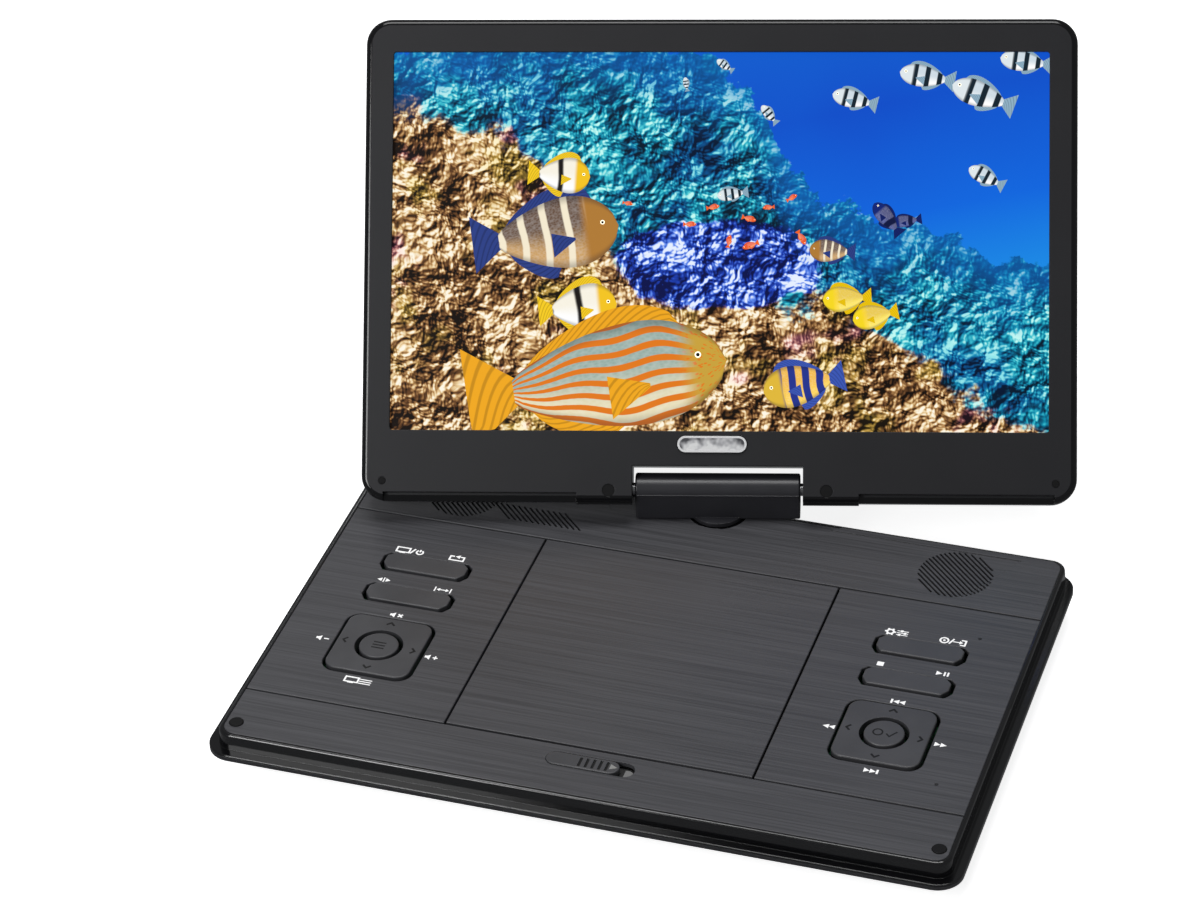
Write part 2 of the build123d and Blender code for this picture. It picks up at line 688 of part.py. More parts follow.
def build():
    os.makedirs("parts", exist_ok=True)
    save("bottom_cover", bottom_cover())
    save("top_cover", top_cover())
    save("rear_deck_plate", rear_deck_plate())
    save("front_deck_plate", front_deck_plate())
    save("disc_door", disc_door())
    save("door_hinge_pins", door_hinge_pins())
    save("latch_slider", latch_slider())
    save("latch_bed", latch_bed())
    save("disc_tray", disc_tray())
    save("drive_chassis", drive_chassis())
    save("guide_rods", guide_rods())
    save("pickup_sled", pickup_sled())
    save("pickup_lens", pickup_lens())
    save("spindle_motor", spindle_motor())
    save("spindle_hub", spindle_hub())
    save("feed_motor", feed_motor())
    save("lead_screw", lead_screw())
    save("damper_mounts", damper_mounts())
    save("main_board", main_board())
    save("battery_pack", battery_pack())
    for word, side in (("left", -1), ("right", 1)):
        save(f"{word}_key_plate", key_plate(side))
        save(f"{word}_rear_bar_key", bar_key(side, BAR_Y[0]))
        save(f"{word}_front_bar_key", bar_key(side, BAR_Y[1]))
        save(f"{word}_pad", pad_ring(side))
        save(f"{word}_pad_button", pad_button(side))
        save(f"{word}_pad_pivot", pad_pivot(side))
    for name in ("power_inlet", "av_jack", "usb_socket", "card_slot"):
        save(name, socket(name))
    save("phone_jacks", group([socket("phone_jack_left"), socket("phone_jack_right")]))
    save("key_boards", group(both(key_board)))
    save("speakers", group(both(speaker)))
    save("tilt_brackets", leaned(group(both(tilt_bracket))))
    save("power_switch_body", power_switch_body())
    save("power_switch_knob", power_switch_knob())
    save("rubber_feet", rubber_feet())
    save("case_screws", case_screws())
    save("corner_bumpers", corner_bumpers())
    save("status_windows", status_windows())
    save("swivel_bush", swivel_bush())
    save("swivel_shaft", turned(swivel_shaft()))
    save("neck_shell", turned(neck_shell()))
    save("neck_rear_cover", turned(neck_rear_cover()))
    save("tilt_shaft", turned(tilt_shaft()))
    save("hinge_core", turned(hinge_core()))
    save("lid_bezel", leaned(lid_bezel()))
    save("lid_back_cover", leaned(lid_back_cover()))
    save("lcd_panel", leaned(lcd_panel()))
    save("screen_glass", leaned(screen_glass()))
    save("driver_board", leaned(driver_board()))
    save("badge", leaned(badge()))
    save("screw_plugs", leaned(screw_plugs()))
    save("lid_bumpers", leaned(lid_bumpers()))


build()
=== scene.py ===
import json
import math
import bpy
import numpy as np
from mathutils import Matrix, Vector


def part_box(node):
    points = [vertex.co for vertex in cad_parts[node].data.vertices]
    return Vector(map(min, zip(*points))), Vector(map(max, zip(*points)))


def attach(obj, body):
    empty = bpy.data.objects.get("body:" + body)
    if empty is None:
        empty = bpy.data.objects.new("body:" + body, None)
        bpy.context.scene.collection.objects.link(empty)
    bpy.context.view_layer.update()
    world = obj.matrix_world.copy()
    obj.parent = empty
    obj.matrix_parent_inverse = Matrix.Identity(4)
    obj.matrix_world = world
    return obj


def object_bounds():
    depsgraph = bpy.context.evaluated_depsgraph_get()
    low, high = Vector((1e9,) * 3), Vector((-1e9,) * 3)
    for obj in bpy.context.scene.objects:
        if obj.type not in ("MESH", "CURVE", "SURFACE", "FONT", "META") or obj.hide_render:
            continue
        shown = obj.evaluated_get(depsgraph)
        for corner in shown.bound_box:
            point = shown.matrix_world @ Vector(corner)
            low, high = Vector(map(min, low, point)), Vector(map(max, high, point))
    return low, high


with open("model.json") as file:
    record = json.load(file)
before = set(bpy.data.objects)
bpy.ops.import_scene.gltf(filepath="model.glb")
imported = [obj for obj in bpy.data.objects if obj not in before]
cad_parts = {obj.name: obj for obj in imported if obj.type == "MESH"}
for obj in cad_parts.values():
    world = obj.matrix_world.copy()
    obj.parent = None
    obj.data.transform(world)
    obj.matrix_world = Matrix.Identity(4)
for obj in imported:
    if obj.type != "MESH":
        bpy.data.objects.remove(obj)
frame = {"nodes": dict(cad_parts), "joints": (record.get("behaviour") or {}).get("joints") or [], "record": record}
cadLow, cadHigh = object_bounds()
mm = 0.001
joints = {j["name"]: j for j in frame["joints"]}
print("frame loaded:", len(frame["nodes"]), "nodes")

# Where things are, read from the frame
tilt = joints["screen_tilt"]
tiltPoint = np.array(tilt["pos_m"])
across = np.array(tilt["axis"]) / np.linalg.norm(tilt["axis"])
openAngle = math.radians(tilt["range_deg"][1])
forward = np.array([across[1], -across[0], 0.0])
upright = math.sin(openAngle) * np.array([0, 0, 1.0]) + math.cos(openAngle) * forward
outward = np.cross(across, upright)
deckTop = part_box("left_key_plate")[1].z
floorLevel = cadLow.z


# A point given across, up and out of the screen in millimetres from the tilt axis, in the row frame
def onScreen(points):
    p = np.asarray(points, float) * mm
    return tiltPoint + p[:, :1] * across + p[:, 1:2] * upright + p[:, 2:3] * outward


# A point given in millimetres in the row frame
def onBase(points):
    return np.asarray(points, float) * mm


# Linear colour of a six-digit sRGB code
def tint(code):
    parts = [int(code[i:i + 2], 16) / 255 for i in (0, 2, 4)]
    return tuple(c / 12.92 if c <= 0.04045 else ((c + 0.055) / 1.055) ** 2.4 for c in parts)


# Camera

cameraLook = {
    "place": (504.4, -1511.8, 1254.4),
    "right": (0.9514, 0.3062, -0.0318),
    "up": (-0.1515, 0.5554, 0.8177),
    "lens": 132.7,
}


def makeCamera():
    right = Vector(cameraLook["right"]).normalized()
    back = right.cross(Vector(cameraLook["up"])).normalized()
    up = back.cross(right)
    data = bpy.data.cameras.new("camera")
    data.lens = cameraLook["lens"]
    data.sensor_width = 36
    data.clip_start = 0.05
    data.clip_end = 50
    camera = bpy.data.objects.new("camera", data)
    turn = Matrix((right, up, back)).transposed().to_4x4()
    camera.matrix_world = Matrix.Translation(Vector(cameraLook["place"]) * mm) @ turn
    bpy.context.scene.collection.objects.link(camera)
    bpy.context.scene.camera = camera


# Lights: place, aim, size across, size deep, power in watts
lightLook = {
    "overhead": ((-0.15, 0.25, 1.9), (0, -0.15, 0), 1.3, 0.8, 20),
    "leftRear": ((-0.95, 1.35, 0.5), (-0.1, 0, 0), 0.4, 0.3, 1.2),
    "frontPanel": ((-0.75, -1.40, 1.12), (-0.15, -0.1, 0), 0.55, 0.8, 14),
}
worldLook = {"tint": (0.96, 0.98, 1.0), "strength": 0.20}
floorLook = {"tint": (0.92, 0.92, 0.92), "glow": 0.80}


def makeLights():
    for name, (place, aim, wide, deep, power) in lightLook.items():
        data = bpy.data.lights.new(name, "AREA")
        data.shape = "RECTANGLE"
        data.size = wide
        data.size_y = deep
        data.energy = power
        lamp = bpy.data.objects.new(name, data)
        lamp.location = place
        lamp.rotation_euler = (Vector(aim) - Vector(place)).to_track_quat("-Z", "Y").to_euler()
        bpy.context.scene.collection.objects.link(lamp)
    world = bpy.data.worlds.new("studio")
    world.use_nodes = True
    sky = world.node_tree.nodes["Background"]
    sky.inputs["Color"].default_value = (*worldLook["tint"], 1)
    sky.inputs["Strength"].default_value = worldLook["strength"]
    bpy.context.scene.world = world
    bpy.context.scene.view_settings.view_transform = "Standard"


def makeFloor():
    half = 6.0
    corners = [(x, y, floorLevel) for x, y in ((-half, -half), (half, -half), (half, half), (-half, half))]
    mesh = bpy.data.meshes.new("floor")
    mesh.from_pydata(corners, [], [(0, 1, 2, 3)])
    floor = bpy.data.objects.new("floor", mesh)
    bpy.context.scene.collection.objects.link(floor)
    paint, shader = newMaterial("paleFloor", floorLook["tint"], 0.9, 0.0, 0.0)
    shader.inputs["Emission Color"].default_value = (1, 1, 1, 1)
    shader.inputs["Emission Strength"].default_value = floorLook["glow"]
    mesh.materials.append(paint)
    floor.visible_glossy = False


# Materials

def newMaterial(name, colour, roughness, metallic=0.0, specular=0.5):
    material = bpy.data.materials.new(name)
    material.use_nodes = True
    shader = material.node_tree.nodes["Principled BSDF"]
    shader.inputs["Base Color"].default_value = (*colour, 1)
    shader.inputs["Roughness"].default_value = roughness
    shader.inputs["Metallic"].default_value = metallic
    shader.inputs["Specular IOR Level"].default_value = specular
    return material, shader


# Short ways to add nodes to one material
class Graph:

    def __init__(self, material):
        self.tree = material.node_tree
        self.shader = material.node_tree.nodes["Principled BSDF"]

    def add(self, kind, **settings):
        node = self.tree.nodes.new(kind)
        for key, value in settings.items():
            setattr(node, key, value)
        return node

    def join(self, source, target):
        if isinstance(source, (int, float)):
            target.default_value = source
        elif isinstance(source, tuple):
            target.default_value = source if target.type == "VECTOR" else (*source[:3], 1)
        else:
            self.tree.links.new(source, target)

    def math(self, kind, a, b=0.0, c=0.0, clamp=False):
        node = self.add("ShaderNodeMath", operation=kind, use_clamp=clamp)
        for i, value in enumerate((a, b, c)):
            self.join(value, node.inputs[i])
        return node.outputs[0]

    def mix(self, share, a, b, blend="MIX"):
        node = self.add("ShaderNodeMix", data_type="RGBA", blend_type=blend)
        self.join(share, node.inputs[0])
        self.join(a, node.inputs[6])
        self.join(b, node.inputs[7])
        return node.outputs[2]

    # 0 below low, 1 above high, and smooth between
    def smooth(self, value, low, high):
        node = self.add("ShaderNodeMapRange", interpolation_type="SMOOTHSTEP")
        self.join(value, node.inputs[0])
        self.join(low, node.inputs[1])
        self.join(high, node.inputs[2])
        return node.outputs[0]

    def place(self, kind, scale, spot=(0, 0, 0)):
        coordinates = self.add("ShaderNodeTexCoord")
        mapping = self.add("ShaderNodeMapping")
        self.join(coordinates.outputs[kind], mapping.inputs["Vector"])
        mapping.inputs["Scale"].default_value = scale
        mapping.inputs["Location"].default_value = spot
        return mapping.outputs[0]

    def parts(self, vector):
        node = self.add("ShaderNodeSeparateXYZ")
        self.join(vector, node.inputs[0])
        return node.outputs[0], node.outputs[1]

    def shift(self, vector, amount):
        node = self.add("ShaderNodeVectorMath", operation="ADD")
        self.join(vector, node.inputs[0])
        self.join(amount, node.inputs[1])
        return node.outputs[0]

    def noise(self, vector, scale, detail=3.0, rough=0.55, twist=0.0, output=0):
        node = self.add("ShaderNodeTexNoise")
        self.join(vector, node.inputs["Vector"])
        node.inputs["Scale"].default_value = scale
        node.inputs["Detail"].default_value = detail
        node.inputs["Roughness"].default_value = rough
        node.inputs["Distortion"].default_value = twist
        return node.outputs[output]

    def cells(self, vector, scale, feature="F1"):
        node = self.add("ShaderNodeTexVoronoi", feature=feature)
        self.join(vector, node.inputs["Vector"])
        node.inputs["Scale"].default_value = scale
        return node.outputs["Distance"]

    def ramp(self, value, stops):
        node = self.add("ShaderNodeValToRGB")
        self.join(value, node.inputs[0])
        band = node.color_ramp
        while len(band.elements) < len(stops):
            band.elements.new(0.5)
        for element, (spot, colour) in zip(band.elements, stops):
            element.position = spot
            element.color = (*colour, 1)
        return node.outputs[0]

    # A height read off a smooth line through the given points
    def curve(self, value, points):
        node = self.add("ShaderNodeFloatCurve")
        self.join(value, node.inputs["Value"])
        line = node.mapping.curves[0]
        for spot, height in points[1:-1]:
            line.points.new(spot, height)
        line.points[0].location = points[0]
        line.points[-1].location = points[-1]
        node.mapping.update()
        return node.outputs[0]

    # Rounds the shading over sharp edges, with the fine relief on top
    def relief(self, radius, height=None, strength=0.0, distance=0.0):
        edge = self.add("ShaderNodeBevel", samples=4)
        edge.inputs["Radius"].default_value = radius
        normal = edge.outputs[0]
        if height is not None:
            node = self.add("ShaderNodeBump")
            self.join(height, node.inputs["Height"])
            node.inputs["Strength"].default_value = strength
            node.inputs["Distance"].default_value = distance
            self.join(normal, node.inputs["Normal"])
            normal = node.outputs[0]
        self.join(normal, self.shader.inputs["Normal"])


brushedLook = {"dark": tint("37373a"), "light": tint("4e4e52"), "low": 0.36, "high": 0.50, "edge": 0.0003}


# Fine lines along X: noise stretched two hundred to one
def brushedCharcoal():
    material, shader = newMaterial("brushedCharcoal", brushedLook["dark"], 0.4, 0.0, 0.5)
    g = Graph(material)
    fine = g.noise(g.place("Object", (22, 4200, 22)), 1.0, 2.0)
    broad = g.noise(g.place("Object", (9, 900, 9)), 1.0, 3.0)
    lines = g.math("ADD", g.math("MULTIPLY", fine, 0.55), g.math("MULTIPLY", broad, 0.45))
    sharp = g.smooth(lines, 0.30, 0.70)
    g.join(g.mix(sharp, brushedLook["dark"], brushedLook["light"]), shader.inputs["Base Color"])
    rough = g.math("MULTIPLY_ADD", sharp, brushedLook["high"] - brushedLook["low"], brushedLook["low"])
    g.join(rough, shader.inputs["Roughness"])
    g.relief(brushedLook["edge"], lines, 0.35, 0.00006)
    return material


# Moulded plastic: a little unevenness in its gloss and a fine spark-eroded grain
def moulded(name, colour, roughness, grain, specular=0.5, coat=0.0, edge=0.0004):
    material, shader = newMaterial(name, colour, roughness, 0.0, specular)
    g = Graph(material)
    cloud = g.noise(g.place("Object", (1, 1, 1)), 38, 3.0)
    g.join(g.math("MULTIPLY_ADD", cloud, 0.10, roughness - 0.05), shader.inputs["Roughness"])
    low = tuple(0.9 * c for c in colour)
    high = tuple(1.1 * c for c in colour)
    g.join(g.mix(g.smooth(cloud, 0.3, 0.7), low, high), shader.inputs["Base Color"])
    g.relief(edge, g.noise(g.place("Object", (1, 1, 1)), 2600, 2.0), grain, 0.00004)
    shader.inputs["Coat Weight"].default_value = coat
    shader.inputs["Coat Roughness"].default_value = 0.05
    return material


def metal(name, colour, roughness):
    material, shader = newMaterial(name, colour, roughness, 1.0)
    g = Graph(material)
    marks = g.noise(g.place("Object", (300, 300, 2400)), 1.0, 2.0)
    g.join(g.math("MULTIPLY_ADD", marks, 0.16, roughness - 0.08), shader.inputs["Roughness"])
    g.relief(0.0002, marks, 0.15, 0.00003)
    return material


# Solder mask with faint tracks: thin bands of a cell pattern
def circuitBoard():
    material, shader = newMaterial("solderMask", (0.01, 0.10, 0.04), 0.35)
    g = Graph(material)
    tracks = g.cells(g.place("Object", (1, 1, 1)), 260, "DISTANCE_TO_EDGE")
    green = g.mix(g.smooth(tracks, 0.04, 0.08), (0.02, 0.16, 0.06), (0.01, 0.08, 0.03))
    g.join(green, shader.inputs["Base Color"])
    return material


# Polished silver with a soft cloud of lighter and darker grey
def silverBadge():
    material, shader = newMaterial("badgeSilver", (0.8, 0.8, 0.82), 0.28, 0.4)
    g = Graph(material)
    cloud = g.noise(g.place("Object", (1, 1, 1)), 150, 2.0)
    g.join(g.ramp(cloud, [(0.38, (0.10, 0.10, 0.11)), (0.5, (0.60, 0.60, 0.62)), (0.60, (1.0, 1.0, 1.0))]),
           shader.inputs["Base Color"])
    g.relief(0.0003)
    return material


bezelLook = {"face": tint("1c1c1f"), "edge": tint("0a0a0c"), "matt": 0.42, "gloss": 0.10, "band": 3.0,
             "half": (168.5, 114.7), "middle": 107.9, "corner": 12.0}


# Satin face inside a polished edge. The edge is where the depth inside a round-cornered rectangle is small.
# Depth: length of the part of (|across| - a, |up - m| - b) above zero, plus the larger of the two where both
# are below zero, less the corner's radius
def bezelCharcoal():
    material, shader = newMaterial("bezelCharcoal", bezelLook["face"], 0.4, 0.0, 0.4)
    g = Graph(material)
    spot = g.shift(g.place("Object", (1, 1, 1)), tuple(-tiltPoint))
    reach = []
    halfWide, halfHigh = bezelLook["half"]
    for way, half, middle in ((across, halfWide, 0.0), (upright, halfHigh, bezelLook["middle"])):
        node = g.add("ShaderNodeVectorMath", operation="DOT_PRODUCT")
        g.join(spot, node.inputs[0])
        g.join(tuple(way), node.inputs[1])
        off = g.math("ABSOLUTE", g.math("MULTIPLY_ADD", node.outputs["Value"], 1000.0, -middle))
        reach.append(g.math("SUBTRACT", off, half - bezelLook["corner"]))
    outX, outY = (g.math("MAXIMUM", r, 0.0) for r in reach)
    outside = g.math("SQRT", g.math("ADD", g.math("POWER", outX, 2.0), g.math("POWER", outY, 2.0)))
    inside = g.math("MINIMUM", g.math("MAXIMUM", *reach), 0.0)
    depth = g.math("SUBTRACT", g.math("ADD", outside, inside), bezelLook["corner"])
    edge = g.smooth(depth, -bezelLook["band"] - 0.3, -bezelLook["band"] + 0.3)
    g.join(g.mix(edge, bezelLook["face"], bezelLook["edge"]), shader.inputs["Base Color"])
    cloud = g.noise(g.place("Object", (1, 1, 1)), 38, 3.0)
    matt = g.math("MULTIPLY_ADD", cloud, 0.08, bezelLook["matt"] - 0.04)
    fall = g.math("SUBTRACT", bezelLook["gloss"], matt)
    g.join(g.math("MULTIPLY_ADD", edge, fall, matt), shader.inputs["Roughness"])
    g.relief(0.0006, g.noise(g.place("Object", (1, 1, 1)), 2600, 2.0), 0.08, 0.00004)
    return material


# Colour, roughness and grain of the neck's shells, which are a little lighter than the rest of their slot
neckLook = (tint("29292d"), 0.32, 0.18)


def dressNodes():
    finishes = {
        "satin_black": moulded("satinBlack", tint("1b1b1e"), 0.34, 0.18),
        "gloss_black": moulded("glossBlack", tint("08080a"), 0.12, 0.02, 0.5, 0.3, 0.0006),
        "brushed_charcoal": brushedCharcoal(),
        "key_charcoal": moulded("keyCharcoal", tint("434346"), 0.38, 0.10, 0.5, 0.0, 0.0005),
        "bezel_black": bezelCharcoal(),
        "inner_plastic": moulded("innerBlack", tint("121213"), 0.50, 0.25),
        "steel": metal("drawnSteel", (0.55, 0.55, 0.56), 0.32),
        "rubber": moulded("softRubber", tint("0c0c0d"), 0.65, 0.35, 0.2),
        "nylon": moulded("naturalNylon", (0.62, 0.60, 0.55), 0.45, 0.1),
        "lens": moulded("pickupLens", (0.10, 0.06, 0.22), 0.10, 0.0),
        "circuit_board": circuitBoard(),
        "battery_wrap": moulded("batteryWrap", (0.02, 0.06, 0.20), 0.25, 0.05),
        "lcd_metal": metal("panelTin", (0.62, 0.62, 0.64), 0.38),
        "lit_screen": moulded("screenPane", (0.004, 0.004, 0.005), 0.15, 0.0),
        "silver_badge": silverBadge(),
    }
    neckSatin = moulded("neckSatin", *neckLook)
    for row in frame["record"]["subparts"]:
        node = frame["nodes"][row["node"]]
        finish = finishes[row["material_slot"]]
        if row["node"] in ("neck_shell", "neck_rear_cover"):
            finish = neckSatin
        if node.material_slots:
            node.material_slots[0].material = finish
        else:
            node.data.materials.append(finish)
    return finishes


# Flat shapes: each is (points, faces) in a plane, in millimetres

def fill(points):
    return np.array(points, float), [tuple(range(len(points)))]


def box(x0, x1, y0, y1):
    return fill([(x0, y0), (x1, y0), (x1, y1), (x0, y1)])


# A band of even width along a line: each corner is offset along its mitre, by half the width over the cosine
# of the half-angle
def stroke(points, width, closed=False):
    p = np.array(points, float)
    ahead = np.roll(p, -1, 0) - p
    if not closed:
        ahead[-1] = ahead[-2]
    ahead /= np.linalg.norm(ahead, axis=1)[:, None]
    behind = np.roll(ahead, 1, 0)
    if not closed:
        behind[0] = ahead[0]
    middle = ahead + behind
    middle /= np.linalg.norm(middle, axis=1)[:, None]
    side = np.stack([-middle[:, 1], middle[:, 0]], 1)
    reach = width / 2 / np.maximum(0.35, (middle * ahead).sum(1))[:, None]
    n = len(p)
    both = np.concatenate([p - side * reach, p + side * reach])
    last = n if closed else n - 1
    return both, [(i, (i + 1) % n, n + (i + 1) % n, n + i) for i in range(last)]


def roundLine(x, y, radius, low=0.0, high=360.0, steps=24):
    a = np.radians(np.linspace(low, high, steps + 1))
    return np.stack([x + radius * np.cos(a), y + radius * np.sin(a)], 1)


def disc(x, y, radius):
    return fill(roundLine(x, y, radius)[:-1])


def ring(x, y, radius, width):
    return stroke(roundLine(x, y, radius)[:-1], width, True)


def moved(shapes, x, y, size=1.0, turn=0.0):
    c, s = math.cos(math.radians(turn)) * size, math.sin(math.radians(turn)) * size
    return [(np.array([[c, -s], [s, c]]).dot(p.T).T + (x, y), f) for p, f in shapes]


# Flat shapes given a thickness: tops and bottoms at two heights, and a wall along every edge that only one
# face has
def plates(name, shapes, place, low, high, material, body):
    points, faces = [], []
    for flat, own in shapes:
        start = len(points)
        n = len(flat)
        points += [(x, y, low) for x, y in flat] + [(x, y, high) for x, y in flat]
        edges = {}
        for face in own:
            faces.append(tuple(start + n + i for i in face))
            faces.append(tuple(start + i for i in reversed(face)))
            for a, b in zip(face, face[1:] + face[:1]):
                edges[(a, b)] = True
        for a, b in edges:
            if (b, a) not in edges:
                faces.append((start + a, start + b, start + n + b, start + n + a))
    return addPiece(name, place(points), faces, material, body)


def addPiece(name, points, faces, material, body, uvs=None, marks=None):
    mesh = bpy.data.meshes.new(name)
    mesh.from_pydata([tuple(p) for p in points], [], faces)
    for paint in material if isinstance(material, list) else [material]:
        mesh.materials.append(paint)
    if marks is not None:
        mesh.polygons.foreach_set("material_index", marks)
    if uvs is not None:
        layer = mesh.uv_layers.new(name="UVMap")
        corners = np.zeros(len(mesh.loops), int)
        mesh.loops.foreach_get("vertex_index", corners)
        layer.data.foreach_set("uv", np.asarray(uvs, np.float32)[corners].ravel())
    mesh.update()
    piece = bpy.data.objects.new(name, mesh)
    bpy.context.scene.collection.objects.link(piece)
    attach(piece, body)
    return piece


def glowing(name, colour, strength):
    material, shader = newMaterial(name, colour, 0.5, 0.0, 0.2)
    shader.inputs["Emission Color"].default_value = (*colour, 1)
    shader.inputs["Emission Strength"].default_value = strength
    return material


def plain(name, colour, roughness=0.5, specular=0.3):
    return newMaterial(name, colour, roughness, 0.0, specular)[0]


# Printed symbols on the deck. The white print glows a little, which is painted light, and the black marks on the
# pads and in the latch's grooves are painted shade

symbolLook = {"line": 0.68, "thick": 0.03, "size": 1.2, "white": tint("f4f4f4"), "glow": 0.25}


def triangle(x, wide, high):
    return fill([(x, -high / 2), (x + wide, 0), (x, high / 2)][::1 if wide > 0 else -1])


def speakerSign():
    return [fill([(-2.6, -0.6), (-1.8, -0.6), (-0.6, -1.5), (-0.6, 1.5), (-1.8, 0.6), (-2.6, 0.6)])]


def cross(x, y, half, width):
    return [stroke([(x - half, y - half), (x + half, y + half)], width),
            stroke([(x - half, y + half), (x + half, y - half)], width)]


def symbols():
    w = symbolLook["line"]
    skip = [triangle(-2.6, 2.3, 2.4), triangle(-0.3, 2.3, 2.4), box(2.1, 2.9, -1.2, 1.2)]
    fast = [triangle(-2.3, 2.3, 2.4), triangle(0.0, 2.3, 2.4)]
    power = [stroke(roundLine(0, 0, 1.3, 125, 415), w), box(-w / 2, w / 2, 0.2, 1.7)]
    panel = [stroke([(-2.6, -1.3), (2.6, -1.3), (2.6, 1.5), (-2.6, 1.5)], w, True),
             box(-1.2, 1.2, -2.0, -1.55)]
    slash = [stroke([(-0.7, -1.6), (0.7, 1.6)], w)]
    loop = [stroke([(-1.2, 1.2), (-2.8, 1.2), (-2.8, -1.2), (2.8, -1.2), (2.8, 1.2), (1.2, 1.2)], w),
            moved([triangle(0, -1.9, 2.2)], 1.0, 1.2)[0]]
    gear = [ring(0, 0, 1.25, 0.75)] + [s for a in range(0, 360, 60)
            for s in moved([box(1.5, 2.15, -0.4, 0.4)], 0, 0, 1.0, a)]
    sliders = [box(-2.2, 2.2, y - 0.2, y + 0.2) for y in (-1.2, 0.0, 1.2)]
    knobs = [box(x - 0.45, x + 0.45, y - 0.6, y + 0.6) for x, y in ((-1.0, -1.2), (1.0, 0.0), (-0.4, 1.2))]
    record = [ring(0, 0, 1.55, w), disc(0, 0, 0.5)]
    enter = [stroke([(0.6, 1.5), (2.4, 1.5), (2.4, -1.5), (0.6, -1.5)], w), box(-2.4, 0.2, -0.25, 0.25),
             moved([triangle(0, 1.4, 2.0)], 0.1, 0.0)[0]]
    lines = [box(-2.4, 2.4, y - 0.25, y + 0.25) for y in (-1.2, 0.0, 1.2)]
    speakerMinus = speakerSign() + [box(0.5, 2.5, -0.28, 0.28)]
    speakerPlus = speakerMinus + [box(1.22, 1.78, 0.28, 1.0), box(1.22, 1.78, -1.0, -0.28)]
    speakerCross = speakerSign() + cross(1.5, 0, 0.85, w)
    sides = [triangle(-0.8, -1.9, 2.2), box(-0.25, 0.25, -1.4, 1.4), triangle(0.8, 1.9, 2.2)]
    between = [box(-3.4, -2.9, -1.4, 1.4), box(2.9, 3.4, -1.4, 1.4), box(-1.4, 1.4, -0.25, 0.25),
               moved([triangle(0, -1.3, 1.9)], -1.2, 0)[0], moved([triangle(0, 1.3, 1.9)], 1.2, 0)[0]]
    left = [
        (speakerCross, -119.3, -7.5, 0), (speakerMinus, -146.1, -32.7, 0), (speakerPlus, -93.2, -33.1, 0),
        (panel, -122.6, -58.1, 0), (lines, -116.0, -58.3, 0),
        (panel, -133.6, 41.2, 0), (slash, -128.9, 41.3, 0), (power, -125.4, 41.2, 0),
        (loop, -107.0, 41.3, 0), (sides, -134.4, 16.7, 0), (between, -105.2, 16.4, 0),
    ]
    right = [
        (skip, 119.1, -7.8, 180), (fast, 93.8, -32.7, 180), (fast, 144.7, -32.3, 0), (skip, 119.7, -57.9, 0),
        ([box(-1.3, 1.3, -1.2, 1.2)], 104.3, 16.9, 0),
        ([triangle(-2.6, 2.4, 2.4), box(0.3, 1.0, -1.2, 1.2), box(1.6, 2.3, -1.2, 1.2)], 133.3, 17.2, 0),
        (gear, 102.6, 41.2, 0), (sliders + knobs, 108.2, 41.2, 0),
        (record, 127.8, 41.4, 0), (slash, 131.2, 41.4, 0), (enter, 134.8, 41.4, 0),
    ]
    return [s for icon, x, y, turn in left + right for s in moved(icon, x, y, symbolLook["size"], turn)]


def printSymbolsAndShade():
    # Painted light: the white print is given a faint glow of its own, on top of its real white
    white = glowing("whitePrintPaintedGlow", symbolLook["white"], symbolLook["glow"])
    low = deckTop / mm
    high = low + symbolLook["thick"]
    plates("printedSymbols", symbols(), onBase, low, high, white, "base")
    # Painted shade: this black stands in for the shade inside the pads' engraved lines and the latch's grooves
    black = plain("paintedShadeBlack", tint("0b0b0c"))
    shadePadEngravings(black)
    printLatchAndShadeGrooves(black)
    print("symbols drawn")


padLook = {"x": 119.0, "y": -32, "out": 16.4, "arrow": [(-0.9, 1.9), (0.9, 0), (-0.9, -1.9)], "line": 1.0,
           "signLine": 0.75, "thick": 0.03}


# Four arrowheads on each pad, and a plain sign on each centre button, drawn as flat black marks: painted shade in
# place of their engraved lines
def shadePadEngravings(black):
    w = padLook["signLine"]
    listSign = [box(-3.0, 3.0, y - 0.38, y + 0.38) for y in (-2.0, 0.0, 2.0)]
    tickSign = [ring(-2.9, 0, 2.1, w), stroke([(1.0, -0.2), (2.7, -1.9), (5.5, 2.1)], w)]
    arrow = moved([stroke(padLook["arrow"], padLook["line"])], padLook["out"], 0)
    for word, side, sign in (("left", -1, listSign), ("right", 1, tickSign)):
        x, y = side * padLook["x"], padLook["y"]
        marks = [s for turn in (0, 90, 180, 270) for s in moved(arrow, x, y, 1, turn)]
        jobs = (("_pad", "PadArrowShade", marks), ("_pad_button", "ButtonSignShade", moved(sign, x, y)))
        # The marks are painted shade: black laid on top where the engravings would be shaded
        for part, name, shapes in jobs:
            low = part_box(word + part)[1].z / mm
            high = low + padLook["thick"]
            plates(word + name, shapes, onBase, low, high, black, word + part)


latchLook = {
    "y": -86.5,
    "arrowX": 9.2, "arrowLong": 3.4, "arrowHigh": 3.6, "arrowThick": 0.12, "arrow": tint("8e8e8c"),
    "grooves": 5, "firstX": -5.15, "pitch": 3.1, "grooveWide": 1.1, "grooveHalf": 3.0,
    "grooveLow": 0.5, "grooveHigh": 0.35,
    "endX": 15.4, "endHalf": 3.3, "endRound": 3.4, "endThick": 0.1, "end": tint("7a7a7a"),
}
